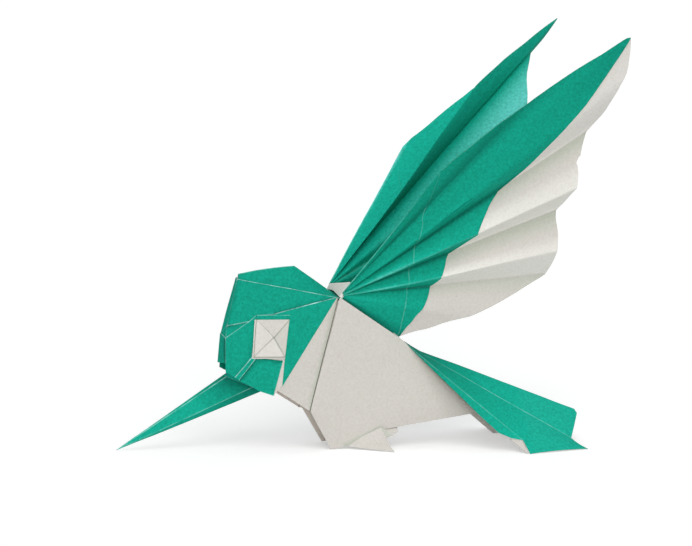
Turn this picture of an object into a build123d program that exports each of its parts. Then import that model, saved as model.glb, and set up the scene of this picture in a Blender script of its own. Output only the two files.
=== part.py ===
from build123d import *
from build123d import SkipClean
import os

# Origami hummingbird, folded from one square sheet. It stands on a table on the tip of
# its beak, the corners of its belly, its feet and the corners of its tail.
# X runs from the beak to the tail, Z is up, and the two sides mirror about the XZ plane
# but for the front folds of the far wing.

# The sheet
paper = 0.2
mitre_limit = 1.7

# Half widths, from the middle of the bird to the inside of its near wall
forehead_half_width = 0.8
cheek_half_width = 3.6
collar_half_width = 6.4
shoulder_half_width = 7.0
chest_half_width = 5.6
belly_half_width = 4.5
rump_half_width = 3.8
heel_half_width = 2.6
foot_half_width = 9.5
beak_half_width = 3.4
beak_lip_half_width = 2.0
tail_valley_half_width = 8.0
tail_tip_half_width = 12.5
tail_corner_half_width = 16.5
tail_ridge_half_width = 13.5
tail_edge_half_width = 13.0

# Places on the side view: along the bird from the shoulder, and up from the table
crest_front = (-24.6, 44.0)
crown = (-10.4, 45.9)
nape = (0.3, 38.4)
forehead = (-25.0, 42.9)
forehead_edge = (-24.9, 43.3)
brow = (-27.5, 31.5)
brow_end = (-22.2, 32.6)
cheek_top = (-20.5, 34.1)
neck_crease = (-12.4, 34.3)
cheek_front = (-27.9, 28.6)
cheek_low = (-28.1, 19.9)
chin = (-25.9, 18.7)
jaw = (-19.7, 15.5)
jaw_end = (-16.5, 14.6)
throat = (-15.5, 15.6)
neck_end = (-14.3, 16.6)
band_top = (-28.6, 29.4)
band_low = (-29.2, 21.9)
eye_front_top = (-20.8, 33.1)
eye_back_top = (-12.4, 33.2)
eye_back_low = (-13.6, 24.0)
eye_front_low = (-21.5, 23.9)
beak_tip = (-54.3, 0.4)
beak_bridge = (-27.1, 19.1)
beak_corner = (-21.2, 15.9)
beak_lip = (-18.5, 14.6)
collar = (-1.2, 38.5)
shoulder = (-0.3, 39.0)
chest = (-6.7, 10.1)
belly = (-0.8, 0.0)
foot_front = (2.9, 0.7)
foot_back = (12.2, 4.7)
foot_tip = (14.3, 0.0)
heel = (37.2, 8.2)
rump = (17.0, 27.4)
saddle = (2.0, 40.0)
rump_middle = (18.0, 26.0)
tail_top = (65.5, 7.5)
tail_valley = (61.4, 2.0)
tail_tip = (64.5, 0.0)
tail_corner = (47.8, 0.0)
tail_ridge = (46.7, 3.0)
tail_edge = (40.5, 4.8)

# The wings: the folds fan out from a root just inside the shoulder. Each row gives the
# end of one fold as back, up and out from the root, its turn (a ridge above zero, a
# valley below) and its cover, the share of it that lies under the turned-over front edge
root_back = 1.1
root_up = 1.1
root_in = 0.4
root_reach = 2.0
pleat_slope = 0.035
wing_tuck = 1.5
wing_folds = [
    (20.2, 32.2, 11.7, 0.5, 1.0),  # front corner
    (39.9, 46.9, 15.8, -0.6, 1.0),  # first valley, ends on the front edge
    (64.7, 65.7, 21.4, -0.1, 1.0),  # tip
    (63.9, 53.8, 16.7, 0.4, 0.815),  # soft ridge
    (57.8, 41.3, 12.4, -0.9, 0.72),  # valley
    (56.5, 27.3, 7.5, 1.0, 0.61),  # ridge
    (53.2, 21.0, 5.9, -1.0, 0.55),  # valley
    (53.9, 10.7, 2.8, 0.9, 0.485),  # ridge
    (52.3, 3.9, 1.3, -0.7, 0.485),  # valley
    (33.1, -6.7, -1.5, 0.6, 0.645),  # soft ridge
    (15.3, -11.8, -3.0, 0.0, 1.0),  # base, along the back
]

# The far wing is pinched harder near its tip, so its front folds have rows of their own
far_front_folds = [
    (20.9, 33.2, 11.7, 0.5, 1.0),  # front corner
    (39.9, 46.9, 15.8, -1.2, 1.0),  # first valley, ends on the front edge
    (64.7, 65.7, 17.86, 1.0, 1.0),  # tip
    (57.6, 56.9, 16.6, 1.5, 0.815),  # ridge
    (53.9, 43.0, 12.9, -1.2, 0.72),  # valley
    (55.0, 27.8, 7.5, 1.0, 0.61),  # ridge
]

# Where the roof of the head and the root of the beak sit on the panels that hold them
roof_seat_share = 0.2
beak_seat_share = 0.5

# Layers of paper in each panel
side_layers = 2
cheek_layers = 3
eye_layers = 4
neck_layers = 1
roof_layers = 1
beak_layers = 2
tail_layers = 2
wing_layers = 1
cover_layers = 2


def near(place, half_width):
    return Vector(place[0], -half_width, place[1])


def middle(place):
    return near(place, 0)


def mirrored(point):
    return Vector(point.X, -point.Y, point.Z)


def between(start, end, share):
    return start + (end - start) * share


def key(point):
    return (round(point.X, 4), round(point.Y, 4), round(point.Z, 4))


def far_side(panels):
    return [
        (layers, [mirrored(p) for p in (corners[0], *reversed(corners[1:]))])
        for layers, corners in panels
    ]


def both_sides(panels):
    return panels + far_side(panels)


def triangles_of(panels):
    found = []
    for layers, corners in panels:
        distinct = [p for n, p in enumerate(corners) if key(p) != key(corners[n - 1])]
        for second, third in zip(distinct[1:], distinct[2:]):
            found.append((layers, (distinct[0], second, third)))
    return found


def mitres_of(triangles):
    # The way each corner moves, so that every panel around it keeps its thickness
    total, weight = {}, {}
    for layers, corners in triangles:
        normal = (corners[1] - corners[0]).cross(corners[2] - corners[0]).normalized()
        for n, corner in enumerate(corners):
            angle = (corners[n - 2] - corner).get_angle(corners[n - 1] - corner)
            total[key(corner)] = total.get(key(corner), Vector()) + normal * angle
            weight[key(corner)] = weight.get(key(corner), 0) + angle
    mitres = {}
    for corner, way in total.items():
        mitre = way * (weight[corner] / way.dot(way))
        mitres[corner] = mitre * min(1, mitre_limit / mitre.length)
    return mitres


def folded_sheet(panels):
    # A closed solid: an inner skin through the corners, an outer skin as many layers
    # out as each panel has, and walls along raw edges and where the layers change
    triangles = triangles_of(panels)
    mitres = mitres_of(triangles)
    levels, edge_layers = {}, {}
    for layers, corners in triangles:
        for n, corner in enumerate(corners):
            levels.setdefault(key(corner), {0}).add(layers)
            edge_layers[key(corners[n - 1]), key(corner)] = layers

    def lifted(corner, level):
        return corner + mitres[key(corner)] * (paper * level)

    def face(*points):
        return Face(Wire.make_polygon(points, close=True))

    def chain(corner, low, high):
        return [lifted(corner, n) for n in sorted(levels[key(corner)]) if low <= n <= high]

    faces = []
    for layers, corners in triangles:
        faces.append(face(*[lifted(p, layers) for p in corners]))
        faces.append(face(*reversed(corners)))
        for n, end in enumerate(corners):
            start = corners[n - 1]
            beside = edge_layers.get((key(end), key(start)), 0)
            if beside < layers:
                left = chain(start, beside, layers)
                right = chain(end, beside, layers)
                for low, high in zip(right, right[1:]):
                    faces.append(face(left[0], low, high))
                for low, high in zip(left, left[1:]):
                    faces.append(face(low, right[-1], high))
    return Solid(Shell(faces))


def head_side(place):
    # The side of the head is one flat plane through the forehead, collar and cheek
    start = near(forehead, forehead_half_width)
    across = near(collar, collar_half_width) - start
    normal = across.cross(near(cheek_low, cheek_half_width) - start)
    step = middle(place) - start
    return near(place, normal.dot(step) / normal.Y)


def body_panels():
    top = near(shoulder, shoulder_half_width)
    back = near(rump, rump_half_width)
    neck = head_side(neck_end)
    front = near(chest, chest_half_width)
    toe = near(foot_front, belly_half_width)
    ankle = near(foot_back, belly_half_width)
    return [
        (neck_layers, [top, head_side(collar), neck, head_side(throat), front]),
        (side_layers, [
            back, top, front, near(belly, belly_half_width), toe, ankle,
            near(heel, heel_half_width),
        ]),
        (side_layers, [toe, near(foot_tip, foot_half_width), ankle]),
        (side_layers, [top, back, middle(rump_middle), middle(saddle)]),
        (side_layers, [top, middle(saddle), middle(nape)]),
    ]


def head_panels():
    face_top = head_side(forehead)
    top = head_side(collar)
    eye = [head_side(p) for p in (eye_front_top, eye_front_low, eye_back_low, eye_back_top)]
    return [
        (side_layers, [
            face_top, head_side(brow), head_side(brow_end), head_side(cheek_top),
            head_side(neck_crease), top,
        ]),
        (side_layers, [top, head_side(neck_crease), eye[3], eye[2], head_side(neck_end)]),
        (side_layers, [head_side(cheek_top), eye[0], eye[3], head_side(neck_crease)]),
        (eye_layers, eye),
        (side_layers, [head_side(brow), head_side(cheek_front), head_side(brow_end)]),
        (cheek_layers, [
            eye[0], head_side(cheek_top), head_side(brow_end), head_side(cheek_front),
            head_side(cheek_low), head_side(chin), eye[1],
        ]),
        (side_layers, [
            eye[1], head_side(chin), head_side(jaw), head_side(jaw_end), head_side(throat),
            head_side(neck_end), eye[2],
        ]),
        (side_layers, [face_top, middle(forehead_edge), middle(band_top), head_side(brow)]),
        (side_layers, [head_side(brow), middle(band_top), head_side(cheek_front)]),
        (cheek_layers, [
            head_side(cheek_front), middle(band_top), middle(band_low), head_side(cheek_low),
        ]),
    ]


def tail_panels():
    base = near(rump, rump_half_width)
    valley = near(tail_valley, tail_valley_half_width)
    ridge = near(tail_ridge, tail_ridge_half_width)
    corner = near(tail_corner, tail_corner_half_width)
    return [
        (tail_layers, [middle(rump_middle), base, valley, middle(tail_top)]),
        (tail_layers, [base, ridge, corner, near(tail_tip, tail_tip_half_width), valley]),
        (tail_layers, [base, near(tail_edge, tail_edge_half_width), ridge]),
    ]


def roof_panels():
    eave = between(head_side(forehead), head_side(brow), roof_seat_share)
    end = head_side(collar)
    return [(roof_layers, [middle(crown), middle(crest_front), eave, end, middle(nape)])]


def beak_panels():
    tip = middle(beak_tip)
    bridge = middle(beak_bridge)
    corner = near(beak_corner, beak_half_width)
    band_side = between(head_side(cheek_low), head_side(cheek_front), beak_seat_share)
    band_middle = between(middle(band_low), middle(band_top), beak_seat_share)
    return [
        (beak_layers, [bridge, tip, corner]),
        (beak_layers, [corner, tip, near(beak_lip, beak_lip_half_width)]),
        (beak_layers, [bridge, corner, band_side, band_middle]),
    ]


def wing_panels(rows):
    root = near(shoulder, shoulder_half_width) + Vector(root_back, root_in, root_up)
    folds = []
    for back, up, out, turn, cover in rows:
        reach = Vector(back, -out, up)
        end = root + reach + Vector(0, -turn * pleat_slope * reach.length, 0)
        start = between(root, end, root_reach / reach.length)
        folds.append((start, between(start, end, cover), end))
    panels = []
    for upper, lower in zip(folds, folds[1:]):
        panels.append((cover_layers, [lower[0], lower[1], upper[1], upper[0]]))
        panels.append((wing_layers, [lower[1], lower[2], upper[2], upper[1]]))
    start, end = folds[-1][0], folds[-1][2]
    down = Vector(0, 0, -wing_tuck)
    panels.append((cover_layers, [start, start + down, end + down, end]))
    return panels


os.makedirs("parts", exist_ok=True)
body = folded_sheet(both_sides(body_panels() + head_panels() + tail_panels()))
roof = folded_sheet(both_sides(roof_panels()))
beak = folded_sheet(both_sides(beak_panels()))
near_wing = folded_sheet(wing_panels(wing_folds))
far_wing_folds = far_front_folds + wing_folds[len(far_front_folds):]
far_wing = folded_sheet(far_side(wing_panels(far_wing_folds)))
with SkipClean():
    bird = body.fuse(roof, beak, near_wing, far_wing)
box = bird.bounding_box()
bird = Pos(-box.center().X, 0, -box.min.Z) * bird
print("solids", len(bird.solids()), "valid", bird.is_valid, "size", bird.bounding_box().size)
export_step(bird, "parts/paper_bird.step")
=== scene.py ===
import math
import bpy
import numpy as np
from mathutils import Matrix, Vector, noise
from mathutils.geometry import delaunay_2d_cdt


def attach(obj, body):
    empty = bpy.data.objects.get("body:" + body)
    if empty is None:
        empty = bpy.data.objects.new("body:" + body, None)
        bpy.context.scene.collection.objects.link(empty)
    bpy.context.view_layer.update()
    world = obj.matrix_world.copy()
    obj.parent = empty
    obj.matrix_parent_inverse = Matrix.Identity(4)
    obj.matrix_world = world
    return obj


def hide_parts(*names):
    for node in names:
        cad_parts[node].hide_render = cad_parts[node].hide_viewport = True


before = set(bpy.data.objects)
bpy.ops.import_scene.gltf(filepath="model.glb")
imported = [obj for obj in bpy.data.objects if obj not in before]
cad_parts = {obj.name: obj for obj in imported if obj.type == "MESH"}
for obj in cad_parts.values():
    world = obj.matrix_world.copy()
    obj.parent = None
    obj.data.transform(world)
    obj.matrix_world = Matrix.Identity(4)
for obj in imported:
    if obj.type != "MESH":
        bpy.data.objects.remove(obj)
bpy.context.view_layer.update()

scene = bpy.context.scene
scene.view_settings.view_transform = "Standard"

# The sheet. Places are in millimetres until the mesh is written: along the bird from its
# shoulder, half width from its middle, up from the table
paper = {
    "thick": 0.12,
    "edgeStep": 0.8,  # points along folds and edges
    "gridStep": 1.25,  # points across a panel
    "gridRow": 0.87,  # height of the grid's rows, as a share of the step
    "gridRoom": 0.45,  # steps that the grid keeps off the rows beside a fold
    "rings": (0.08, 0.3),  # rows of points beside a fold, which keep it crisp
    "ringRoom": (0.9, 0.8),  # the share of that distance kept to other folds
    "noCrack": 9.0,  # the distance noted where no worn fold is near
    "foldWear": 0.15,
    "bulge": 0.12,  # how far a panel swells between its folds
    "bulgeReach": 5.0,
    "waves": ((0.045, 0.22), (0.15, 0.06)),  # slow waves: frequency, height
    "waveSeed": 6,  # fixed, so that every run gives the same waves
    "calm": 4.0,  # below this height the waves die out, so the feet stand flat
    "rowBack": -5.4446,  # from the shoulder to the row's origin
    "rowUp": 0.0055,
}
noise.seed_set(paper["waveSeed"])
green, white, rawEdge, insideLit = range(4)  # in the order of the finishes
bird = {"points": [], "faces": [], "papers": [], "rims": set(), "crack": [], "wear": [], "paintedShading": []}


def newNet():
    # crack is the distance to the nearest worn fold, wear its whiteness, and the shading value the painted
    # shade on the paper; below zero it is painted light
    return {"points": [], "faces": [], "crack": [], "wear": [], "paintedShading": [], "folded": set()}


def addPoint(net, point):
    net["points"].append(np.array(point))
    net["crack"].append(paper["noCrack"])
    net["wear"].append(0.0)
    net["paintedShading"].append(0.0)
    return len(net["points"]) - 1


def spot(back, wide, up):
    return Vector((back + paper["rowBack"], -wide, up + paper["rowUp"]))


def spots(places):
    return {name: spot(*place) for name, place in places.items()}


def segmentDistances(places, starts, ends):
    along = ends - starts
    offset = places[:, None, :] - starts[None]
    share = (offset * along).sum(2) / np.maximum((along * along).sum(1), 1e-12)
    nearest = np.clip(share, 0, 1)[..., None] * along
    return np.linalg.norm(offset - nearest, axis=2)


def insideLoop(places, loop):
    ahead = np.roll(loop, -1, axis=0)
    x, y = places[:, 0, None], places[:, 1, None]
    crosses = (loop[:, 1] > y) != (ahead[:, 1] > y)
    rise = np.where(ahead[:, 1] == loop[:, 1], 1e-12, ahead[:, 1] - loop[:, 1])
    level = loop[:, 0] + (y - loop[:, 1]) * (ahead[:, 0] - loop[:, 0]) / rise
    return (crosses & (x < level)).sum(1) % 2 == 1


def loopWeights(places, loop):
    # mean value weights, so that a panel whose corners aren't level stays smooth
    offset = loop[None] - places[:, None]
    ahead = np.roll(offset, -1, axis=1)
    reach = np.linalg.norm(offset, axis=2)
    aheadReach = np.roll(reach, -1, axis=1)
    cross = offset[..., 0] * ahead[..., 1] - offset[..., 1] * ahead[..., 0]
    halfTurn = cross / (reach * aheadReach + (offset * ahead).sum(2) + 1e-12)
    weight = (halfTurn + np.roll(halfTurn, 1, axis=1)) / reach
    return weight / weight.sum(1)[:, None]


def fillPanel(net, loop, sides, bulge, inside):
    rim = np.array([net["points"][n] for n in loop])
    centre = rim.mean(axis=0)
    normal = np.cross(rim - centre, np.roll(rim, -1, axis=0) - centre).sum(axis=0)
    normal /= np.linalg.norm(normal)
    outward = 1 if normal.dot(centre - np.array(inside)) > 0 else -1
    across = rim[len(rim) // 3] - rim[0]
    across -= normal * across.dot(normal)
    across /= np.linalg.norm(across)
    axes = np.array([across, np.cross(normal, across)])
    flat = (rim - centre) @ axes.T
    ahead = np.roll(flat, -1, axis=0)
    along = (ahead - flat) / np.linalg.norm(ahead - flat, axis=1)[:, None]
    inward = np.stack([-along[:, 1], along[:, 0]], axis=1)

    middles = (flat + ahead) / 2
    rows = []
    for ring, room in zip(paper["rings"], paper["ringRoom"]):
        rows += [(middles + inward * ring, ring * room), (flat + inward * ring, ring * room)]
    low, high = flat.min(axis=0), flat.max(axis=0)
    step = paper["gridStep"]
    grid = []
    for row, up in enumerate(np.arange(low[1], high[1], step * paper["gridRow"])):
        for over in np.arange(low[0] + (row % 2) * step / 2, high[0], step):
            grid.append((over, up))
    if grid:
        rows.append((np.array(grid), paper["rings"][-1] + step * paper["gridRoom"]))
    kept = [np.zeros((0, 2))]
    for places, room in rows:
        distance = segmentDistances(places, flat, ahead).min(axis=1)
        kept.append(places[(distance > room) & insideLoop(places, flat)])
    filling = np.concatenate(kept)

    every = np.concatenate([flat, filling])
    count = len(flat)
    edges = [(n, (n + 1) % count) for n in range(count)]
    cut = delaunay_2d_cdt([Vector(p) for p in every], edges, [], 1, 1e-6)
    solid = filling
    if len(filling):
        distance = segmentDistances(filling, flat, ahead).min(axis=1)
        height = loopWeights(filling, flat) @ ((rim - centre) @ normal)
        swell = np.minimum(distance / paper["bulgeReach"], 1)
        height += outward * bulge * swell * (2 - swell)
        solid = centre + filling @ axes + height[:, None] * normal
    places = list(loop) + [addPoint(net, point) for point in solid]
    for run, strength in sides:
        if strength == 0:
            continue
        line = np.array([every[loop.index(n)] for n in run])
        reach = segmentDistances(every, line[:-1], line[1:]).min(axis=1)
        for n, value in zip(places, reach):
            if value < net["crack"][n] - 1e-6 or (value < 1e-6 and strength > net["wear"][n]):
                net["crack"][n] = float(value)
                net["wear"][n] = strength
    names = [ids[0] for ids in cut[3]]
    for face in cut[2]:
        a, b, c = [every[names[n]] for n in face]
        turn = (b[0] - a[0]) * (c[1] - a[1]) - (b[1] - a[1]) * (c[0] - a[0])
        corners = [places[names[n]] for n in face]
        net["faces"].append(corners if turn * outward > 0 else corners[::-1])


# A net of flat panels that share their folds. Its arguments give the whiteness of worn folds and edges,
# the offset of a fold's middle from a straight line (bows), and painted shade where a layer lies above
# (shaded): the corner towards which it darkens the sheet, how dark and how wide; shades add up
def foldNet(corners, panels, inside, wearAndSheen=None, bows=None, bulge=None, shaded=None):
    net = newNet()
    wornSides = {tuple(sorted(k.split())): v for k, v in (wearAndSheen or {}).items()}
    bowSides = {tuple(sorted(k.split())): Vector(v) for k, v in (bows or {}).items()}
    uses = {}
    for panel in panels:
        for pair in zip(panel, panel[1:] + panel[:1]):
            side = tuple(sorted(pair))
            uses[side] = uses.get(side, 0) + 1
    index, runs = {}, {}
    for name in dict.fromkeys(n for panel in panels for n in panel):
        index[name] = addPoint(net, corners[name])
    for side in uses:
        start, end = corners[side[0]], corners[side[1]]
        bow = bowSides.get(side, Vector())
        count = max(1, round((end - start).length / paper["edgeStep"]))
        runs[side] = [index[side[0]]]
        for n in range(1, count):
            share = n / count
            bowed = start.lerp(end, share) + bow * (4 * share * (1 - share))
            runs[side].append(addPoint(net, bowed))
        runs[side].append(index[side[1]])
    for panel in panels:
        loop, sides = [], []
        for a, b in zip(panel, panel[1:] + panel[:1]):
            side = tuple(sorted((a, b)))
            run = runs[side] if side[0] == a else runs[side][::-1]
            plain = paper["foldWear"] if uses[side] > 1 else 0
            sides.append((run, wornSides.get(side, plain)))
            loop += run[:-1]
        fillPanel(net, loop, sides, paper["bulge"] if bulge is None else bulge, inside)
    places = np.array(net["points"])
    for side, (toward, dark, wide) in (shaded or {}).items():
        start, end = [np.array(corners[n]) for n in side.split()]
        along = (end - start) / np.linalg.norm(end - start)
        aim = np.array(corners[toward]) - start
        aim -= along * aim.dot(along)
        reach = segmentDistances(places, start[None], end[None])[:, 0]
        onSide = (places - start) @ aim > -1e-3
        shade = np.where(onSide, dark * np.maximum(0, 1 - reach / wide), 0)
        net["paintedShading"] = [a + float(b) for a, b in zip(net["paintedShading"], shade)]
    return net


def mirrored(net):
    other = dict(net)
    other["points"] = [p * np.array((1, -1, 1)) for p in net["points"]]
    other["faces"] = [face[::-1] for face in net["faces"]]
    return other


def bothHalves(net):
    # joins a half to its mirror image along the middle
    other = mirrored(net)
    onMiddle = {n for n, p in enumerate(net["points"]) if abs(p[1]) < 1e-4}
    joined = {name: list(net[name]) for name in ("points", "faces", "crack", "wear", "paintedShading")}
    renamed = []
    for n, point in enumerate(other["points"]):
        if n in onMiddle:
            renamed.append(n)
            continue
        renamed.append(len(joined["points"]))
        for name in ("points", "crack", "wear", "paintedShading"):
            joined[name].append(other[name][n])
    joined["faces"] += [[renamed[n] for n in face] for face in other["faces"]]
    return joined


def waved(points):
    moved = []
    for point in points:
        place = Vector(point)
        calm = min(1.0, max(0.0, point[2]) / paper["calm"])
        offset = Vector()
        for often, height in paper["waves"]:
            offset += noise.noise_vector(place * often) * height
        moved.append(place + offset * calm)
    return np.array(moved)


def vertexNormals(points, faces):
    corner = points[faces]
    total = np.zeros_like(points)
    flat = np.cross(corner[:, 1] - corner[:, 0], corner[:, 2] - corner[:, 0])
    flat /= np.linalg.norm(flat, axis=1)[:, None] + 1e-15
    for n in range(3):
        ahead = corner[:, (n + 1) % 3] - corner[:, n]
        behind = corner[:, (n + 2) % 3] - corner[:, n]
        size = np.linalg.norm(ahead, axis=1) * np.linalg.norm(behind, axis=1) + 1e-15
        angle = np.arccos(np.clip((ahead * behind).sum(1) / size, -1, 1))
        np.add.at(total, faces[:, n], flat * angle[:, None])
    return total / (np.linalg.norm(total, axis=1)[:, None] + 1e-15)


# Gives a net the thickness of the sheet, with one colour outside and another inside
def layPaper(net, outer, under, lift=None, foldColour=None):
    half = paper["thick"] / 2
    points = waved(net["points"])
    faces = np.array(net["faces"])
    normals = vertexNormals(points, faces)
    if lift is not None:
        points = points + normals * np.asarray(lift).reshape(-1, 1)
    folded = net.get("folded", ())
    start, count = len(bird["points"]), len(points)
    bird["points"] += list(points + normals * half) + list(points - normals * half)
    for name in ("crack", "wear", "paintedShading"):
        bird[name] += list(net[name]) * 2
    top = faces + start
    bottom = faces[:, ::-1] + start + count
    bird["faces"] += top.tolist() + bottom.tolist()
    bird["papers"] += [outer] * len(faces) + [under] * len(faces)
    directed = {(face[n], face[(n + 1) % 3]) for face in top.tolist() for n in range(3)}
    for a, b in sorted(directed):
        if (b, a) not in directed:
            bird["faces"].append([b, a, a + count, b + count])
            onFold = a - start in folded and b - start in folded
            bird["papers"].append(foldColour if onFold else rawEdge)
            bird["rims"].add((min(a, b), max(a, b)))
            bird["rims"].add((min(a, b) + count, max(a, b) + count))


def layBothSides(net, outer, under, lift=None):
    layPaper(net, outer, under, lift=lift)
    layPaper(mirrored(net), outer, under, lift=lift)


# The head: two flat sides joined by a narrow front, with the layers folded on them
head = {
    "plane": {"forehead": (-25.0, 0.8, 42.9), "collar": (-0.7, 6.4, 38.9), "cheekLow": (-28.1, 3.6, 19.9)},
    "onSide": {  # back and up on that plane
        "brow": (-27.5, 31.5), "browEnd": (-22.2, 32.6), "cheekTop": (-20.5, 34.1),
        "creaseBend": (-16.1, 34.5), "cheekFront": (-27.9, 28.6), "chin": (-25.9, 18.7),
        "jaw": (-19.7, 15.3), "jawEnd": (-16.5, 14.3), "throat": (-15.5, 15.6),
        "neckEnd": (-14.4, 16.6), "eyeFrontTop": (-20.3, 33.1), "eyeBackTop": (-12.4, 33.2),
        "eyeBackLow": (-13.6, 24.0), "eyeFrontLow": (-21.1, 23.9), "eyeMiddle": (-16.2, 28.7),
        "lidFront": (-20.2, 34.2), "lidBack": (-12.2, 34.3), "pleatHigh": (-21.7, 23.7),
        "pleatBack": (-20.5, 23.7), "pleatLow": (-24.9, 18.0), "jawBack": (-14.1, 23.0),
        "bandEnd": (-28.05, 22.2),
    },
    "inFront": {"foreheadEdge": (-24.9, 43.3), "bandTop": (-28.6, 29.4), "bandLow": (-29.2, 21.9)},
    "inside": (-20.0, 0.0, 28.0),
    "cheekLift": 0.16, "jawLift": 0.1, "pleatLift": 0.2, "underLift": -0.14,
    # layerTones and flapTones are painted light below zero and painted shade above zero, which set the
    # eye's layers and flaps apart; flapLines is painted shade along the flaps' creases
    "eyeLifts": (0.22, 0.36), "eyeGrowth": (0.5, 0.2), "layerTones": (-0.2, 1.9),
    "flapPeaks": (0.24, 0.3, 0.42, 0.34), "flapTones": (-0.2, -0.25, 0.35, 0.0),
    "flapLines": (1.3, 1.5, 1.1, 0.0), "flapWear": (0.0, 0.0, 0.0, 0.9),
    "flapLift": 0.12, "flapSlit": 0.07, "flapLineWide": 0.3,
}


def headSide(name, lift):
    start, end, low = spots(head["plane"]).values()
    normal = (end - start).cross(low - start).normalized()
    if normal.y > 0:
        normal.negate()
    if name in head["plane"]:
        return spot(*head["plane"][name]) + normal * lift
    back, up = head["onSide"][name]
    flat = spot(back, 0, up)
    flat.y = start.y - ((flat.x - start.x) * normal.x + (flat.z - start.z) * normal.z) / normal.y
    return flat + normal * lift


def headCorners(lift):
    corners = {n: headSide(n, lift) for n in (*head["plane"], *head["onSide"])}
    corners.update({n: spot(back - lift, 0, up) for n, (back, up) in head["inFront"].items()})
    return corners


def buildHead():
    inside = spot(*head["inside"])
    shell = foldNet(headCorners(0.0), [
        ["forehead", "brow", "browEnd", "cheekTop", "creaseBend", "collar"],
        ["brow", "cheekFront", "browEnd"],
        ["collar", "creaseBend", "cheekTop", "eyeFrontTop", "eyeFrontLow", "eyeBackLow", "neckEnd"],
        ["forehead", "foreheadEdge", "bandTop", "brow"],
        ["brow", "bandTop", "cheekFront"],
    ], inside, wearAndSheen={
        "forehead collar": 1.0, "forehead brow": 0.12, "collar creaseBend": 0.9,
        "creaseBend cheekTop": 0.5, "brow browEnd": 0.8, "forehead foreheadEdge": 0.8,
    # painted shade beside the creases where a layer lies over the shell, and along its folded front
    }, shaded={
        "collar creaseBend": ("forehead", 1.8, 0.4), "creaseBend cheekTop": ("eyeBackLow", 1.8, 0.35),
        "brow browEnd": ("cheekFront", 1.8, 0.4), "forehead collar": ("creaseBend", 0.5, 0.5),
        "forehead brow": ("collar", 0.6, 0.9),
    })
    layPaper(bothHalves(shell), green, white)

    layBothSides(foldNet(headCorners(head["underLift"]), [
        ["browEnd", "chin", "jaw", "jawEnd", "throat", "neckEnd", "eyeBackLow", "eyeFrontTop"],
    ], inside, wearAndSheen={"jawEnd throat": 0.2}), white, white)

    cheek = foldNet(headCorners(head["cheekLift"]), [
        ["cheekTop", "browEnd", "cheekFront", "bandEnd", "cheekLow", "chin", "pleatHigh", "eyeFrontTop"],
        ["cheekFront", "bandTop", "bandLow", "bandEnd"],
    ], inside, wearAndSheen={
        "cheekFront browEnd": 0.8, "cheekFront bandEnd": 0.15, "browEnd cheekTop": 0.8,
        "chin pleatHigh": 0.7, "pleatHigh eyeFrontTop": 0.3, "cheekFront bandTop": 0.5,
    # painted shade beside the cheek's front edge, the eye and the pleat
    }, shaded={
        "cheekFront bandEnd": ("bandTop", 1.8, 0.6), "pleatHigh eyeFrontTop": ("cheekFront", 1.0, 0.5),
        "chin pleatHigh": ("cheekFront", 0.8, 0.5),
    })
    layPaper(bothHalves(cheek), green, green)

    pleat = headCorners(head["pleatLift"])
    layBothSides(foldNet(pleat, [["pleatHigh", "chin", "pleatLow", "pleatBack"]], inside, wearAndSheen={
        "pleatBack pleatLow": 0.9, "chin pleatHigh": 0.8,
    }), green, white)

    jaw = headCorners(head["jawLift"])
    layBothSides(foldNet(jaw, [["pleatBack", "pleatLow", "jaw", "jawEnd", "jawBack"]], inside, wearAndSheen={
        "jaw jawEnd": 0.3, "jawEnd jawBack": 0.35,
    # painted shade beside the pleat and below the eye
    }, shaded={
        "pleatBack pleatLow": ("jawEnd", 2.2, 0.45), "pleatBack jawBack": ("jaw", 1.2, 0.7),
    }), green, white)


def buildEye():
    inside = spot(*head["inside"])
    square = ("eyeFrontTop", "eyeFrontLow", "eyeBackLow", "eyeBackTop")
    for lift, growth, tone in zip(head["eyeLifts"], head["eyeGrowth"], head["layerTones"]):
        corner = headCorners(lift)
        corner["eyeFrontTop"].x -= growth
        corner["eyeFrontLow"] -= Vector((growth, 0, growth))
        corner["eyeBackLow"].z -= growth
        layer = foldNet(corner, [list(square)], inside, bulge=0.0)
        # one painted tone for each layer: painted light on the lowest, painted shade on the next
        layer["paintedShading"] = [tone] * len(layer["points"])
        layBothSides(layer, white, white)
    # four flaps fold in to the middle of the square, each with a hair of space beside it
    top = head["eyeLifts"][-1]
    for n, peak in enumerate(head["flapPeaks"]):
        start, end = square[n], square[(n + 1) % 4]
        corner = {m: headSide(m, top + head["flapLift"]) for m in (start, end)}
        corner["middle"] = headSide("eyeMiddle", top + peak)
        centre = sum(corner.values(), Vector()) / 3
        slim = {m: p + (centre - p).normalized() * head["flapSlit"] for m, p in corner.items()}
        line = f"{end} middle"
        flap = foldNet(
            slim, [[start, end, "middle"]], inside, bulge=0.08, wearAndSheen={line: head["flapWear"][n]},
            shaded={line: (start, head["flapLines"][n], head["flapLineWide"])},
        )
        # painted shade and painted light that set the four flaps apart
        flap["paintedShading"] = [paintedShading + head["flapTones"][n] for paintedShading in flap["paintedShading"]]
        layBothSides(flap, white, white)
    lid = headCorners(head["eyeLifts"][0])
    layBothSides(foldNet(lid, [["lidFront", "eyeFrontTop", "eyeBackTop", "lidBack"]], inside, wearAndSheen={
        "lidFront lidBack": 0.8,
    }), green, white)


# The roof of the head, a small tent tucked behind the tops of the two sides
roof = {
    "corners": {
        "crown": (-10.4, 0, 45.9), "crestFront": (-24.6, 0, 44.0), "nape": (0.3, 0, 38.4),
        "eaveFront": (-24.8, 0.8, 41.6), "eaveBack": (-2.0, 6.15, 37.4), "napeSide": (-0.2, 6.2, 38.7),
        "tuck": (2.4, 0, 38.9), "tuckSide": (1.4, 5.8, 38.8),
    },
    "inside": (-12.0, 0, 36.0),
    "crestBow": (0, 0, 0.3),
}


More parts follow.
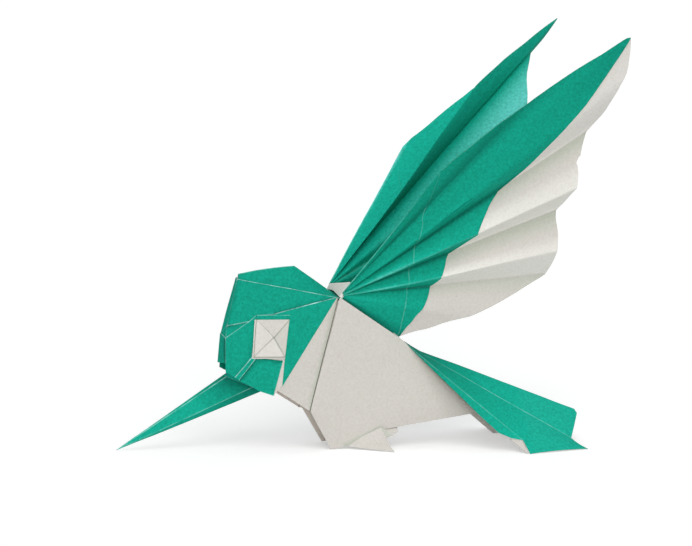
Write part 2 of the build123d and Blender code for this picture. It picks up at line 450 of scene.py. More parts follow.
def buildRoof():
    net = foldNet(spots(roof["corners"]), [
        ["crown", "crestFront", "eaveFront", "eaveBack", "napeSide", "nape"],
        ["nape", "napeSide", "tuckSide", "tuck"],
    ], spot(*roof["inside"]), wearAndSheen={
        "crown crestFront": 1.0, "crown nape": 0.25, "nape napeSide": 0.5,
    }, bows={"crown crestFront": roof["crestBow"]})
    layPaper(bothHalves(net), green, white)


# The beak, a narrow pleated spike
beak = {
    "corners": {
        "tip": (-54.5, 0, 0.2), "bridge": (-27.1, 0, 19.1), "creaseBase": (-27.4, 1.0, 18.3),
        "corner": (-21.2, 3.4, 15.9), "lip": (-18.5, 2.0, 14.6), "browSide": (-26.0, 3.0, 23.0),
        "browMiddle": (-28.0, 0, 24.0),
    },
    "inside": (-26.0, 0, 12.0),
    # tone is painted light over the whole beak
    "tone": -0.25,
}


def buildBeak():
    net = foldNet(spots(beak["corners"]), [
        ["bridge", "tip", "creaseBase"],
        ["creaseBase", "tip", "corner"],
        ["corner", "tip", "lip"],
        ["bridge", "creaseBase", "corner", "browSide", "browMiddle"],
    ], spot(*beak["inside"]), wearAndSheen={
        "creaseBase tip": 0.5, "corner tip": 0.3, "bridge tip": 0.3,
    # painted shade towards the base of the beak, under the head
    }, bulge=0.06, shaded={"creaseBase corner": ("tip", 1.1, 10.0)})
    net["paintedShading"] = [paintedShading + beak["tone"] for paintedShading in net["paintedShading"]]
    layPaper(bothHalves(net), green, green)


# The body: white sides that lap over the neck, with small feet turned out at the belly
body = {
    "corners": {
        "shoulder": (-0.3, 7.0, 39.0), "chest": (-6.7, 5.6, 10.1), "belly": (-0.8, 4.5, 0.06),
        "footFront": (2.9, 4.5, 0.7), "footBack": (12.2, 4.5, 4.7), "footTip": (14.3, 10.3, 0.06),
        "footApex": (11.9, 5.3, 5.4), "footLow": (13.3, 5.9, 2.9), "footRight": (15.7, 5.6, 3.4),
        "footFrontTuck": (3.2, 4.2, 2.0), "footBackTuck": (12.0, 4.2, 6.0),
        "toeFrontTuck": (11.8, 4.0, 6.4), "toeBackTuck": (15.6, 3.7, 6.2), "toeFront": (12.1, 4.4, 4.6),
        "toeSide": (15.6, 5.0, 3.5), "toeTip": (16.5, 4.4, 3.8), "toeBack": (16.6, 4.1, 4.8),
        "heel": (37.2, 2.6, 8.2), "rump": (17.0, 3.8, 27.4), "chestHem": (-4.2, 4.7, 10.3),
        "shoulderHem": (1.2, 6.2, 36.5), "bellyHem": (0.8, 3.9, 2.2), "neckTop": (1.0, 6.2, 37.5),
        "lapTop": (-0.5, 6.33, 38.2), "neckTuck": (-4.0, 4.9, 8.4), "saddleLow": (-0.1, 6.5, 39.0),
        "saddleHigh": (1.7, 6.0, 41.9), "saddleLowMiddle": (0.0, 0, 39.4),
        "saddleHighMiddle": (1.3, 0, 41.4), "backMiddle": (6.0, 0, 36.5), "backSide": (6.0, 5.2, 36.3),
        "rumpMiddle": (18.0, 0, 26.0), "saddleSide": (3.4, 5.8, 36.4),
    },
    "inside": (8.0, 0, 20.0),
    "sideLift": 0.3, "neckLift": -0.02, "tuckLift": -0.1, "toeLift": -0.25,
    "farDrop": 1.25,  # the far half of the neck hangs lower
    # painted shade, how dark and how wide: beside the lap over the neck, under the head, above the foot and
    # under the tail; the saddle's last value is painted light on the strip between the wings, which lies in
    # their shade
    "lapShade": (3.2, 0.4), "headShade": (0.35, 0.8), "footShade": (1.6, 0.8), "tailShade": (0.4, 9.0),
    "saddleFar": (-1.3, 0.0, -1.6), "saddleNear": (0.9, 0.0, 0.7), "saddlePaintedLight": -0.9,
}


def buildNeck(corners, inside):
    return foldNet(corners, [
        ["collar", "neckEnd", "throat", "chest", "lapTop"],
        ["lapTop", "chest", "neckTuck", "neckTop"],
    ], inside, wearAndSheen={"lapTop chest": 0.0}, bulge=0.05, shaded={
        "lapTop chest": ("neckEnd", *body["lapShade"]), "collar neckEnd": ("chest", *body["headShade"]),
    })


def buildBody():
    corners = spots(body["corners"])
    inside = spot(*body["inside"])
    corners.update({n: headSide(n, body["neckLift"]) for n in ("collar", "neckEnd", "throat")})
    layPaper(buildNeck(corners, inside), white, insideLit)
    farCorners = dict(corners)
    for name in ("throat", "chest"):
        farCorners[name] = corners[name] - Vector((0, 0, body["farDrop"]))
    layPaper(mirrored(buildNeck(farCorners, inside)), white, insideLit)
    side = foldNet(corners, [
        ["rump", "shoulder", "chest", "belly", "footFront", "footBack", "heel"],
        ["shoulder", "shoulderHem", "chestHem", "chest"],
        ["chest", "chestHem", "bellyHem", "belly"],
    # painted shade above the foot and under the tail
    ], inside, bulge=0.3, shaded={
        "footFront footBack": ("shoulder", *body["footShade"]), "rump heel": ("chest", *body["tailShade"]),
    })
    layBothSides(side, white, insideLit, lift=body["sideLift"])
    tuck = foldNet(corners, [["footFrontTuck", "footFront", "footBack", "footBackTuck"]], inside, bulge=0.0)
    layBothSides(tuck, white, white, lift=body["tuckLift"])
    foot = foldNet(corners, [
        ["footFront", "footApex", "footLow", "footTip"],
        ["footApex", "footRight", "footLow"],
    ], inside, wearAndSheen={
        "footFront footApex": 0.8, "footApex footRight": 0.8, "footApex footLow": 0.0,
    }, bows={"footLow footTip": (-0.4, 0, 0.2)}, bulge=0.05, shaded={
        "footApex footLow": ("footRight", 0.9, 3.0),
    })
    layBothSides(foot, white, white)
    toe = foldNet(corners, [
        ["toeFrontTuck", "toeFront", "toeBack", "toeBackTuck"],
        ["toeFront", "toeSide", "toeTip", "toeBack"],
    ], inside, wearAndSheen={"toeFront toeBack": 0.0}, bulge=0.0)
    layBothSides(toe, white, white, lift=body["toeLift"])
    # the strip between the wings is twisted: its far end lies lower
    panels = []
    for end, sign, shift in (("Near", 1, body["saddleNear"]), ("Far", -1, body["saddleFar"])):
        for name in ("saddleLow", "saddleHigh", "saddleSide", "backSide", "rump"):
            back, wide, up = body["corners"][name]
            move = shift if name == "saddleHigh" else (0, 0, 0)
            corners[name + end] = spot(back + move[0], sign * (wide + move[1]), up + move[2])
        panels += [
            ["saddleLow" + end, "saddleHigh" + end, "saddleHighMiddle", "saddleLowMiddle"],
            ["saddleHigh" + end, "backSide" + end, "backMiddle", "saddleHighMiddle"],
            ["backSide" + end, "rump" + end, "rumpMiddle", "backMiddle"],
            ["saddleLow" + end, "saddleSide" + end, "backSide" + end, "saddleHigh" + end],
        ]
    saddle = foldNet(corners, panels, inside, wearAndSheen={"saddleHighMiddle saddleLowMiddle": 0.0})
    # painted light over the strip between the wings
    saddle["paintedShading"] = [body["saddlePaintedLight"]] * len(saddle["points"])
    layPaper(saddle, white, white)


# The tail, a tent of two halves with a valley and a ridge in each
tail = {
    "corners": {
        "start": (15.7, 0, 27.9), "kink": (22.9, 0, 23.8), "top": (64.6, 0, 7.9),
        "topRound": (65.15, 0.7, 6.9), "valleyStart": (22.6, 1.2, 23.7), "valley": (61.4, 8.0, 2.0),
        "tip": (64.5, 12.5, 0.06), "corner": (47.8, 16.5, 0.06), "ridge": (46.7, 13.5, 3.0),
        "ridgeStart": (17.4, 3.6, 27.0), "edgeStart": (18.6, 4.1, 25.9), "edgeMiddle": (36.1, 10.4, 9.1),
        "edge": (40.5, 12.8, 4.9), "edgeEnd": (43.6, 13.2, 3.6), "hemFront": (43.4, 12.9, 3.5),
        "hemLow": (47.3, 16.2, 0.06), "hemBack": (47.3, 13.6, 2.7),
    },
    "inside": (40.0, 0, -15.0),
    "innerHem": {  # a hem inside the far half
        "top": (37.5, 9.3, 8.4), "front": (37.0, 9.0, 7.3), "bend": (40.0, 9.0, 5.0),
        "low": (46.0, 9.0, 0.08), "end": (47.4, 9.0, 0.12), "back": (45.5, 9.8, 6.0),
    },
    # painted light on the inner hem, which lies in shade
    "hemInside": (40.0, 0, 3.0), "hemLift": -0.14, "hemPaintedLight": -1.0,
    "spineFall": 0.4, "crowd": 24.0, "crowdWide": 9.0,  # painted shade where the folds crowd
    "bright": 0.42, "brightStart": 0.4,  # painted light from this share of the crowded part on
}


def buildTail():
    corners = spots(tail["corners"])
    inside = spot(*tail["inside"])
    net = foldNet(corners, [
        ["start", "ridgeStart", "valleyStart", "kink"],
        ["kink", "valleyStart", "valley", "topRound", "top"],
        ["ridgeStart", "ridge", "corner", "tip", "valley", "valleyStart"],
        ["ridgeStart", "edgeStart", "edgeMiddle", "edge", "edgeEnd", "ridge"],
    ], inside, wearAndSheen={
        "valleyStart valley": 0.4, "ridgeStart ridge": 0.22, "kink top": 0.3, "topRound valley": 0.15,
    }, bows={"corner tip": (0, 0, 0.25), "valley tip": (-0.4, 0, 0)}, bulge=0.2)
    # painted shade near the start of the tail, where the folds crowd, and painted light further back
    for n, point in enumerate(net["points"]):
        along = point[0] - corners["start"].x
        low = point[2] - corners["start"].z + tail["spineFall"] * along
        net["paintedShading"][n] = max(0.0, 1 - along / tail["crowd"]) * max(0.0, 1 + low / tail["crowdWide"])
        net["paintedShading"][n] -= tail["bright"] * min(1.0, max(0.0, along / tail["crowd"] - tail["brightStart"]))
    layPaper(bothHalves(net), green, white)
    hem = foldNet(corners, [["hemFront", "hemLow", "hemBack"]], inside, bulge=0.0)
    layBothSides(hem, white, white, lift=tail["hemLift"])
    hem = foldNet(spots(tail["innerHem"]), [list(tail["innerHem"])], spot(*tail["hemInside"]), bulge=0.0)
    # painted light over the hem inside the far half, which lies in the tail's shade
    hem["paintedShading"] = [tail["hemPaintedLight"]] * len(hem["points"])
    layPaper(mirrored(hem), white, white)


# The wings: folds that fan out from a root. Each row gives the end of one fold as back, up
# and out from the root, its turn (a ridge above zero), the share under the turned-over
# front edge, its softness and its whiteness
wing = {
    "root": (0.0, 6.6, 39.3),
    "start": 0.9,
    "pleatSlope": 0.042,
    "gather": 2.2,  # how much deeper the pleats are at the root
    "folds": (
        (21.0, 33.0, 11.7, 0.5, 1.0, 0.0, 0.3),  # front corner
        (40.7, 48.6, 15.8, -0.6, 1.0, 0.12, 0.0),  # first valley
        (65.5, 66.5, 21.4, -0.1, 1.0, 0.35, 0.0),  # tip
        (64.7, 54.6, 16.7, 0.4, 0.815, 0.3, 0.0),  # soft ridge
        (59.1, 42.1, 12.4, -0.9, 0.645, 0.3, 0.0),  # valley
        (57.3, 28.1, 7.5, 1.0, 0.575, 0.05, 0.1),  # ridge
        (54.0, 21.8, 5.9, -1.0, 0.5, 0.3, 0.0),  # valley
        (54.7, 11.5, 2.8, 0.9, 0.46, 0.05, 0.1),  # ridge
        (53.1, 4.7, 1.3, -0.7, 0.43, 0.1, 0.05),  # valley
        (33.9, -5.9, -1.5, 0.6, 0.62, 0.2, 0.0),  # soft ridge
        (16.1, -11.0, -3.0, 0.0, 1.0, 0.05, 0.0),  # base, along the back
        (15.4, -13.5, -3.3, -0.3, 1.0, 0.0, 0.0),  # tucked into the back
    ),
    "bows": (0.3, 0.4, 0.9, 0.9, -0.5, 0.3, 0.2, 0.4, 0.6, -0.2, 0.0),  # outer edge between folds
    "farShifts": {
        0: (0.7, 1.0, 0.0), 1: (0.0, 0.8, 0.0), 2: (0.0, 0.0, -4.7),
        3: (-6.3, 3.1, -0.1), 4: (-4.4, 1.7, 0.5), 5: (-1.5, 0.5, 0.0),
    },
    "farTurns": {1: -1.25, 2: 1.18, 3: 1.24, 4: -1.0},  # deeper near the far wing's tip
    "farSoft": {1: 0.03, 2: 0.05, 3: 0.05}, "farBows": {0: -0.2, 1: 0.8, 2: 1.7, 3: -0.8},
    # painted shade in the valleys: first and last place along the outer edge, darkness, spread before and
    # after
    "valleyShading": (
        (1, 1, 0.62, 1.0, 0.65), (4, 4, 1.1, 0.7, 0.3), (6, 6, 1.0, 0.7, 0.35), (8, 8, 0.8, 0.5, 0.3),
        (10, 11, 0.9, 0.35, 1.0),
    ),
    "bareValleyShading": ((4, 4, 1.2, 0.1, 0.8), (6, 6, 1.25, 0.1, 0.9), (8, 8, 0.8, 0.1, 0.8)),
    "farValleyShading": (
        (1.03, 1.5, 0.48, 0.04, 2.0), (1.5, 2.85, 0.25, 0.1, 0.15), (6, 6, 0.75, 0.7, 0.35),
        (10, 11, 0.9, 0.35, 1.0),
    ),
    # how the painted shade falls off; more painted shade at the root and near the tip, less towards the far
    # tip; farRootDull takes painted light off the far bare sheet near the root
    "shadeFall": 1.5, "rootDark": 0.75, "tipDark": 0.4, "tipPlace": (2.2, 1.2),
    "farTipLight": 0.6, "farRootDull": 0.4,
    # painted light on the bare sheet, for the near wing and then the far: place along the outer edge,
    # brightness
    "bright": (
        (0, 0), (2, 0.2), (3, 0.45), (3.95, 0.55), (4.03, 0), (4.4, 0.2), (4.95, 0.6), (5.05, 0.8),
        (5.9, 0.8), (6.03, 0), (6.45, 0.1), (6.95, 0.5), (7.05, 0.6), (7.9, 0.6), (8.03, 0), (11, 0),
    ),
    "farBright": ((0, 0.4), (1, 0.4), (1.05, 0), (2.9, 0), (3, 0.46), (11, 0.46)),
    # painted highlights on the ridges, rising from the root and gone by paleReach; farEdgePale makes the
    # far wing's front fold lighter
    "ridgePale": 0.85, "farRidgePale": 0.12, "paleRise": 5.0, "paleReach": 0.75,
    "farEdgePale": 0.7, "farEdgePlace": (0, 0.1), "farEdgeWide": 4.5, "farEdgeWear": 0.95,
    "farPale": 0.84, "farPalePlace": (4, 0.9), "farPaleFall": 1.3,  # painted sheen in the far wing's hollow
    "softening": ((-1, 1), (-0.5, 2), (0, 3), (0.5, 2), (1, 1)),  # step, weight in ninths
    "tuckStart": (-0.7, -0.2, -1.7),  # the base of the wing starts behind the shoulder
    "crossCrease": ((21.0, 33.0), (17.2, 7.8), (16.1, -11.0), (15.4, -13.5)),  # back and up from the root
    "across": (0, 0.02, 0.06, 0.14, 0.26, 0.38, 0.5, 0.62, 0.74, 0.86, 0.94, 0.98),
    "nicks": 0.35, "nickOften": 0.22,
    "wobble": 6.0, "wobbleOften": 0.8, "wobbleRows": (0.3, 3.3), "steadyFrom": 10,
    "tear": ((4.42, 0), (4.44, 0.6), (4.52, 1.05), (4.6, 0.45), (4.74, 0)),  # a torn nick: place, depth
    "rowsIn": 11, "rowsOut": 20, "creaseRow": 0.3, "creaseLimit": 0.97,
    "crossWear": 0.2, "farCrossWear": 0.06, "crossRise": 0.06,
    "coverGap": 0.03, "coverLift": 0.14, "coverCurl": 2.5,
}


def crossShare(reach):
    # where a fold meets the cross crease, seen from the side
    for (backA, upA), (backB, upB) in zip(wing["crossCrease"], wing["crossCrease"][1:]):
        stepBack, stepUp = backB - backA, upB - upA
        spread = reach.x * stepUp - reach.z * stepBack
        if abs(spread) < 1e-9:
            continue
        share = (backA * stepUp - upA * stepBack) / spread
        along = (backA * reach.z - upA * reach.x) / spread
        if -0.02 <= along <= 1.001:
            return share
    return 1.0


# painted shade at a place along the outer edge
def darkness(place, valleyShading):
    return max(
        dark * max(0.0, 1 - max((start - place) / before, (place - end) / after, 0.0)) ** wing["shadeFall"]
        for start, end, dark, before, after in valleyShading
    )


def nearPlace(place, middle, wide):
    return max(0.0, 1 - abs(place - middle) / wide)


def wingFan(far):
    names = ("farShifts", "farTurns", "farSoft", "farBows")
    shifts, turns, softs, bows = [wing[n] if far else {} for n in names]
    rows = []
    for n, (back, up, out, turn, cover, soft, wear) in enumerate(wing["folds"]):
        shift = shifts.get(n, (0, 0, 0))
        reach = Vector((back + shift[0], out + shift[2], up + shift[1]))
        rows.append((reach, turns.get(n, turn), cover, softs.get(n, soft), wear))
    last = len(rows) - 1

    def between(place, at):
        place = min(max(place, 0), last)
        n = min(int(place), last - 1)
        return at(n) + (at(n + 1) - at(n)) * (place - n)

    fan = []
    places = {n + share for n in range(last) for share in wing["across"]}
    places |= {place for place, depth in wing["tear"]} | {last}
    for place in sorted(places):
        n = min(int(place), last - 1)
        share = place - n
        reach = between(place, lambda k: rows[k][0])
        ragged = noise.noise(reach * wing["nickOften"]) * wing["nicks"]
        chord = (rows[n + 1][0] - rows[n][0]).normalized()
        away = (reach - chord * reach.dot(chord)).normalized()
        reach = reach + away * (bows.get(n, wing["bows"][n]) * 4 * share * (1 - share) + ragged)
        soft = between(place, lambda k: rows[k][3])
        turn = 0.0
        for step, weight in wing["softening"]:
            turn += between(place + step * soft, lambda k: rows[k][1]) * weight / 9
        drift = noise.noise(Vector((place * wing["wobbleOften"], wing["wobbleRows"][far], 0.5)))
        loose = max(0.0, min(1.0, place, wing["steadyFrom"] - place))
        fan.append({
            "reach": reach,
            "depth": turn * wing["pleatSlope"] * reach.length,
            "cover": 1 / between(place, lambda k: 1 / rows[k][2]),  # straight from fold to fold
            "cross": crossShare(reach),
            "wear": wing["farEdgeWear"] if far and place < 0.5 else rows[round(place)][4],
            "beside": (reach - rows[round(place)][0]).length / (wing["farEdgeWide"] if far else 1.0),
            "crossWear": wing["farCrossWear" if far else "crossWear"],
            # painted light and painted shade for each column
            "bright": float(np.interp(place, *zip(*wing["farBright" if far else "bright"]))),
            "tipDark": 0.0 if far else wing["tipDark"] * nearPlace(place, *wing["tipPlace"]),
            "tipLight": wing["farTipLight"] if far else 0.0,
            "rootDull": wing["farRootDull"] if far and place > 1 else 0.0,
            "bareShading": darkness(place, wing["farValleyShading" if far else "bareValleyShading"]),
            "paintedShading": darkness(place, wing["farValleyShading" if far else "valleyShading"]),
            "ridge": wing["farRidgePale" if far else "ridgePale"] * max(0.0, turn),
            "edge": wing["farEdgePale"] * nearPlace(place, *wing["farEdgePlace"]) if far else 0.0,
            "pale": wing["farPale"] * nearPlace(place, *wing["farPalePlace"]) if far else 0.0,
            "torn": 0.0 if far else float(np.interp(place, *zip(*wing["tear"]))),
            "startShift": Vector(wing["tuckStart"]) * max(0.0, place - last + 1),
            "sway": chord * (wing["wobble"] * drift * loose),
            "place": place,
        })
    return fan


def wingSheet(fan, covered):
    net = newNet()
    root = Vector(wing["root"])
    inRows, outRows = wing["rowsIn"], wing["rowsOut"]
    rowCount = inRows + outRows + 1
    for column, line in enumerate(fan):
        reach = line["reach"]
        if column == 0 and not covered:
            reach = reach.lerp(fan[1]["reach"], 0.5)  # the bare sheet stays inside the front fold
        size = reach.length
        first = wing["start"] / size
        end = line["cover"] if covered else 1 - line["torn"] / size
        crease = min(line["cross"], end * wing["creaseLimit"])
        beside = min(wing["creaseRow"] / size, (end - crease) / 3)
        shares = [first + (crease - beside - first) * n / (inRows - 1) for n in range(inRows)]
        shares.append(crease)
        shares += [crease + beside + (end - crease - beside) * n / (outRows - 1) for n in range(outRows)]
        for n, share in enumerate(shares):
            place = root + reach * share + line["startShift"] * (1 - share)
            place += line["sway"] * share * (1 - share) ** 2
            place.y += line["depth"] * share * (1 + wing["gather"] * (1 - share) ** 2)
            if n == inRows:
                place.y += wing["crossRise"]
            number = addPoint(net, spot(*place))
            cracks = [(abs(share - crease) * size, line["crossWear"])]
            if line["wear"] > 0:
                cracks.append((line["beside"] * share, line["wear"]))
            net["crack"][number], net["wear"][number] = min(cracks)
            # painted highlight on the ridges, painted shade in the valleys and near the tip, painted sheen
            # in the far wing's hollow and painted light on the bare sheet
            wearAndSheen = line["ridge"] * max(0.0, min(share * wing["paleRise"], 1 - share / wing["paleReach"]))
            outer = max(0.0, share * 2 - 1)
            paintedShading = line["paintedShading" if covered else "bareShading"] * (1 + wing["rootDark"] * (1 - share) ** 2)
            paintedShading *= 1 - line["tipLight"] * outer ** 2
            paintedShading += line["tipDark"] * outer if covered else 0.0
            bare = 0.0 if covered else line["bright"] * (1 - line["rootDull"] * (1 - share))
            tone = paintedShading * (1 - line["pale"]) - line["pale"] * share ** wing["farPaleFall"]
            net["paintedShading"][number] = tone - wearAndSheen - line["edge"] - bare
            if line["place"] == 0 or n == 0 or (n == rowCount - 1 and line["place"] <= 2):
                net["folded"].add(number)
    for column in range(len(fan) - 1):
        for row in range(rowCount - 1):
            a = column * rowCount + row
            b = a + rowCount
            net["faces"] += [[a, b, b + 1], [a, b + 1, a + 1]]
    return net


def buildWing(far):
    fan = wingFan(far)
    sheet = wingSheet(fan, False)
    cover = wingSheet(fan, True)
    rowCount = wing["rowsIn"] + wing["rowsOut"] + 1
    lifts = []
    for line in fan:
        edge = line["reach"].length * line["cover"]
        for row in range(rowCount):
            left = edge * (1 - row / (rowCount - 1))
            curl = max(0, 1 - left / wing["coverCurl"]) ** 2
            raised = 0 if line["cover"] == 1 else wing["coverLift"] * curl
            lifts.append(paper["thick"] + wing["coverGap"] + raised)
    if far:
        sheet, cover = mirrored(sheet), mirrored(cover)
    layPaper(sheet, white, green, foldColour=green)
    layPaper(cover, green, white, lift=lifts, foldColour=green)


buildHead()
buildEye()
print("Folded the head, points so far", len(bird["points"]))
buildRoof()
buildBeak()
buildBody()
buildTail()
print("Folded the body, beak and tail, points so far", len(bird["points"]))
buildWing(False)
buildWing(True)
print("Pleated the wings, points so far", len(bird["points"]))


# Finishes. Colours are linear; the worn colour is the whitish core of the paper that shows where a fold
# has cracked its colour
# The tones for a valley, under a layer, lighter and lightest are painted shade, painted shadow, painted
# light and painted highlight; the white paper's painted shade is greenish, with the green side's light in
# it
finishes = {
    "greenPaper": {
        "colour": (0.0053, 0.328, 0.226), "paintedShading": (0.0015, 0.12, 0.08), "shadeShare": 0.85,
        "shadowTone": (0.0008, 0.05, 0.033), "bright": (0.0075, 0.405, 0.29), "pale": (0.125, 0.64, 0.57),
        "darkGrain": (0.75, 0.78, 0.75), "lightGrain": (1.45, 1.22, 1.25),
        "speck": (0.004, 0.16, 0.11), "wearAndSheen": (0.52, 0.93, 0.87), "rough": (0.7, 0.88), "bump": 0.3,
    },
    "whitePaper": {
        "colour": (0.632, 0.601, 0.556), "paintedShading": (0.42, 0.47, 0.375), "shadeShare": 0.6,
        "shadowTone": (0.10, 0.095, 0.08), "bright": (0.73, 0.705, 0.66), "pale": (0.87, 0.855, 0.79),
        "darkGrain": (0.93, 0.927, 0.923), "lightGrain": (1.057, 1.067, 1.079),
        "speck": (0.42, 0.38, 0.32), "wearAndSheen": (0.78, 0.77, 0.74), "rough": (0.75, 0.9), "bump": 0.25,
    },
    "cutEdge": {
        "colour": (0.56, 0.60, 0.56), "paintedShading": (0.5, 0.55, 0.5), "shadeShare": 0.2,
        "shadowTone": (0.2, 0.2, 0.18), "bright": (0.6, 0.64, 0.6), "pale": (0.6, 0.64, 0.6),
        "darkGrain": (0.82, 0.87, 0.84), "lightGrain": (1.14, 1.1, 1.1),
        "speck": (0.35, 0.38, 0.34), "wearAndSheen": (0.70, 0.72, 0.68), "rough": (0.8, 0.92), "bump": 0.2,
    },
    # a lighter, warmer copy of the white paper for the inner faces of the neck and the body's sides:
    # painted light where they lie in shade
    "litInsidePaper": {
        "colour": (0.88, 0.79, 0.71), "paintedShading": (0.6, 0.55, 0.5), "shadeShare": 0.2,
        "shadowTone": (0.12, 0.1, 0.08), "bright": (0.86, 0.78, 0.7), "pale": (0.88, 0.85, 0.8),
        "darkGrain": (0.94, 0.93, 0.92), "lightGrain": (1.05, 1.07, 1.09),
        "speck": (0.5, 0.42, 0.34), "wearAndSheen": (0.85, 0.8, 0.75), "rough": (0.8, 0.92), "bump": 0.25,
    },
}
surface = {
    # noises: scale, detail, roughness
    "mottle": (1600.0, 5.0, 0.65), "fibre": (3200.0, 4.0, 0.6), "specks": (2100.0, 2.0, 0.5),
    "cracks": (300.0, 6.0, 0.75),
    "mottleStops": (0.3, 0.5, 0.72), "speckStops": (0.715, 0.76), "speckShare": 0.8,
    "crackFade": (0.36, 0.62, 0.12, 1.0), "crackReach": (0.03, 0.17),  # millimetres from the fold
    # painted tones by the shading value: painted shade in a valley, painted shadow under a layer, painted
    # light, painted highlight
    "shadeRange": (0.1, 1.0), "shadowRange": (1.6, 2.6), "brightRange": (-0.4, 0.0), "paleRange": (-1.0, -0.4),
    "roughRange": (0.2, 0.8), "specular": 0.06, "bumpHeight": 0.00006,
}


def feed(tree, slot, value):
    if isinstance(value, bpy.types.NodeSocket):
        tree.links.new(value, slot)
    else:
        slot.default_value = value


def mathOf(tree, way, first, second):
    node = tree.nodes.new("ShaderNodeMath")
    node.operation = way
    feed(tree, node.inputs[0], first)
    feed(tree, node.inputs[1], second)
    return node.outputs["Value"]


def paperFinish(name):
    finish = finishes[name]
    material = bpy.data.materials.new(name)
    material.use_nodes = True
    tree = material.node_tree
    nodes, links = tree.nodes, tree.links
    shader = nodes["Principled BSDF"]
    shader.inputs["Specular IOR Level"].default_value = surface["specular"]
    place = nodes.new("ShaderNodeTexCoord")

    def noiseOf(*values):
        texture = nodes.new("ShaderNodeTexNoise")
        for socket, value in zip(("Scale", "Detail", "Roughness"), values):
            texture.inputs[socket].default_value = value
        links.new(place.outputs["Object"], texture.inputs["Vector"])
        return texture.outputs["Fac"]

    def rampOf(source, stops):
        ramp = nodes.new("ShaderNodeValToRGB")
        while len(ramp.color_ramp.elements) < len(stops):
            ramp.color_ramp.elements.new(0.5)
        for element, (position, colour) in zip(ramp.color_ramp.elements, stops):
            element.position = position
            element.color = (*colour, 1)
        links.new(source, ramp.inputs["Fac"])
        return ramp.outputs["Color"]

    def blend(factor, first, second, way="MIX"):
        mix = nodes.new("ShaderNodeMix")
        mix.data_type = "RGBA"
        mix.blend_type = way
        for socket, value in (("Factor", factor), ("A", first), ("B", second)):
            slot = next(i for i in mix.inputs if i.name == socket and i.enabled)
            feed(tree, slot, (*value, 1) if isinstance(value, tuple) else value)
        return next(o for o in mix.outputs if o.enabled)

    def attributeOf(attribute):
        node = nodes.new("ShaderNodeAttribute")
        node.attribute_name = attribute
        return node.outputs["Fac"]

    def fadeOf(source, start, end, low, high):
        node = nodes.new("ShaderNodeMapRange")
        for socket, value in zip(("From Min", "From Max", "To Min", "To Max"), (start, end, low, high)):
            node.inputs[socket].default_value = value
        links.new(source, node.inputs["Value"])
        return node.outputs["Result"]

    # painted shade and painted light on the sheet, then its grain, its specks and its worn folds
    valley = attributeOf("paintedLightAndShade")
    dipped = fadeOf(valley, *surface["shadeRange"], 0.0, finish["shadeShare"])
    colour = blend(dipped, finish["colour"], finish["paintedShading"])
    colour = blend(fadeOf(valley, *surface["brightRange"], 1.0, 0.0), colour, finish["bright"])
    colour = blend(fadeOf(valley, *surface["paleRange"], 1.0, 0.0), colour, finish["pale"])
    colour = blend(fadeOf(valley, *surface["shadowRange"], 0.0, 1.0), colour, finish["shadowTone"])
    mottle = noiseOf(*surface["mottle"])
    fibre = noiseOf(*surface["fibre"])
    tints = (finish["darkGrain"], (1, 1, 1), finish["lightGrain"])
    colour = blend(1.0, colour, rampOf(mottle, list(zip(surface["mottleStops"], tints))), "MULTIPLY")
    shares = ((0, 0, 0), (surface["speckShare"],) * 3)
    speck = rampOf(noiseOf(*surface["specks"]), list(zip(surface["speckStops"], shares)))
    colour = blend(speck, colour, finish["speck"])
    line = fadeOf(attributeOf("crackDistance"), *surface["crackReach"], 1.0, 0.0)
    broken = fadeOf(noiseOf(*surface["cracks"]), *surface["crackFade"])
    wearAndSheen = mathOf(tree, "MULTIPLY", mathOf(tree, "MULTIPLY", line, attributeOf("crackWear")), broken)
    colour = blend(wearAndSheen, colour, finish["wearAndSheen"])
    links.new(colour, shader.inputs["Base Color"])

    links.new(fadeOf(mottle, *surface["roughRange"], *finish["rough"]), shader.inputs["Roughness"])
    bump = nodes.new("ShaderNodeBump")
    bump.inputs["Strength"].default_value = finish["bump"]
    bump.inputs["Distance"].default_value = surface["bumpHeight"]
    links.new(fibre, bump.inputs["Height"])
    links.new(bump.outputs["Normal"], shader.inputs["Normal"])
    return material


def writeBird():
    mesh = bpy.data.meshes.new("paperBird")
    mesh.from_pydata([tuple(p * 0.001) for p in np.array(bird["points"])], [], bird["faces"])
    for name in finishes:
        mesh.materials.append(paperFinish(name))
    mesh.polygons.foreach_set("material_index", bird["papers"])
    mesh.polygons.foreach_set("use_smooth", [True] * len(mesh.polygons))
    # the painted shade and painted light go to the finishes as a point attribute
    for attribute, name in (("crackDistance", "crack"), ("crackWear", "wear"), ("paintedLightAndShade", "paintedShading")):
        mesh.attributes.new(attribute, "FLOAT", "POINT").data.foreach_set("value", bird[name])
    sharp = mesh.attributes.new("sharp_edge", "BOOLEAN", "EDGE")
    sharp.data.foreach_set("value", [tuple(sorted(e.vertices)) in bird["rims"] for e in mesh.edges])
    mesh.update()
    piece = bpy.data.objects.new("paperBird", mesh)
    scene.collection.objects.link(piece)
    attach(piece, "root")
    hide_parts("paper_bird")
    print("Wrote the bird, triangles", sum(len(p.vertices) - 2 for p in mesh.polygons))


writeBird()

# The studio: a pale floor that keeps the bird's shadow, soft light from above, and the camera
studio = {
    "azimuth": -15.0, "elevation": 9.0, "roll": 1.7, "distance": 0.8,
    "target": (-0.00244, 0.0, 0.04395), "focalPixels": 3200.0, "imageWidth": 692.0, "sensor": 36.0,
    "floorSize": 6.0, "floorColour": (0.8, 0.8, 0.79), "floorRough": 0.9, "floorGlow": 0.42,
    "skyColour": (0.96, 0.98, 1.0), "skyLevel": 0.45,
    "suns": {  # from, angle, level
        "key": ((-0.05, -0.6, 0.79), 45.0, 1.0),
        "fill": ((-0.12, -0.96, 0.2), 30.0, 1.15),
    },
}


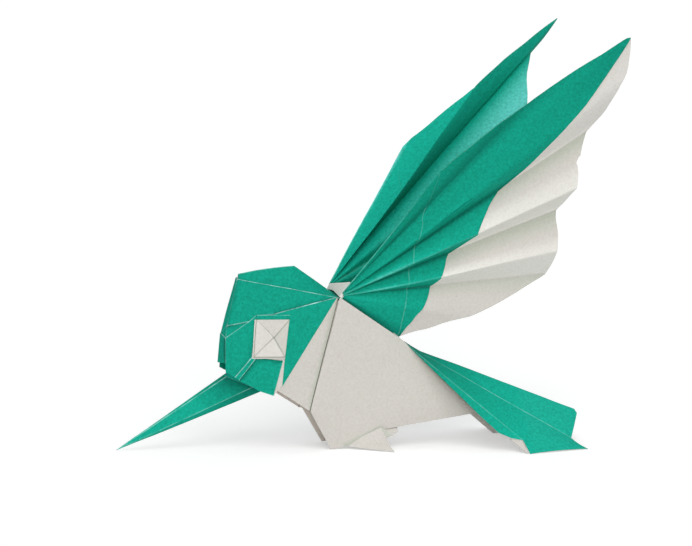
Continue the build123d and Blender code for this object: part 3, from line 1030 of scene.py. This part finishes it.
def setCamera():
    azimuth, elevation, roll = [math.radians(studio[n]) for n in ("azimuth", "elevation", "roll")]
    away = Vector((
        math.sin(azimuth) * math.cos(elevation), -math.cos(azimuth) * math.cos(elevation),
        math.sin(elevation),
    ))
    right = Vector((math.cos(azimuth), math.sin(azimuth), 0))
    up = away.cross(right)
    right, up = (
        right * math.cos(roll) + up * math.sin(roll), up * math.cos(roll) - right * math.sin(roll)
    )
    camera = bpy.data.objects.new("camera", bpy.data.cameras.new("camera"))
    camera.data.sensor_width = studio["sensor"]
    camera.data.sensor_fit = "HORIZONTAL"
    camera.data.lens = studio["sensor"] * studio["focalPixels"] / studio["imageWidth"]
    turned = Matrix((right, up, away)).transposed().to_4x4()
    place = Vector(studio["target"]) + away * studio["distance"]
    camera.matrix_world = Matrix.Translation(place) @ turned
    scene.collection.objects.link(camera)
    scene.camera = camera


# the rays that see the white background: straight from the camera, mirrored or let through
def whiteRays(tree):
    path = tree.nodes.new("ShaderNodeLightPath")
    rays = path.outputs["Is Camera Ray"]
    for name in ("Is Glossy Ray", "Is Transmission Ray"):
        rays = mathOf(tree, "MAXIMUM", rays, path.outputs[name])
    return rays


def setFloor():
    half = studio["floorSize"] / 2
    mesh = bpy.data.meshes.new("floor")
    corners = [(-half, -half, 0), (half, -half, 0), (half, half, 0), (-half, half, 0)]
    mesh.from_pydata(corners, [], [(0, 1, 2, 3)])
    floor = bpy.data.objects.new("floor", mesh)
    scene.collection.objects.link(floor)
    material = bpy.data.materials.new("paleFloor")
    material.use_nodes = True
    tree = material.node_tree
    shader = tree.nodes["Principled BSDF"]
    shader.inputs["Base Color"].default_value = (*studio["floorColour"], 1)
    shader.inputs["Roughness"].default_value = studio["floorRough"]
    shader.inputs["Specular IOR Level"].default_value = 0.0
    shader.inputs["Emission Color"].default_value = (1, 1, 1, 1)
    glow = mathOf(tree, "MULTIPLY", whiteRays(tree), studio["floorGlow"])
    tree.links.new(glow, shader.inputs["Emission Strength"])
    mesh.materials.append(material)


def setLight():
    world = bpy.data.worlds.new("studio")
    world.use_nodes = True
    scene.world = world
    nodes, links = world.node_tree.nodes, world.node_tree.links
    nodes.clear()
    seen = nodes.new("ShaderNodeBackground")
    seen.inputs["Color"].default_value = (1, 1, 1, 1)
    sky = nodes.new("ShaderNodeBackground")
    sky.inputs["Color"].default_value = (*studio["skyColour"], 1)
    sky.inputs["Strength"].default_value = studio["skyLevel"]
    mix = nodes.new("ShaderNodeMixShader")
    out = nodes.new("ShaderNodeOutputWorld")
    links.new(whiteRays(world.node_tree), mix.inputs["Fac"])
    links.new(sky.outputs["Background"], mix.inputs[1])
    links.new(seen.outputs["Background"], mix.inputs[2])
    links.new(mix.outputs["Shader"], out.inputs["Surface"])

    for name, (source, angle, level) in studio["suns"].items():
        lamp = bpy.data.lights.new(name, "SUN")
        lamp.angle = math.radians(angle)
        lamp.energy = level
        sun = bpy.data.objects.new(name, lamp)
        sun.rotation_euler = Vector(source).to_track_quat("Z", "Y").to_euler()
        scene.collection.objects.link(sun)


setCamera()
setFloor()
setLight()
print("Set the camera, floor and light")
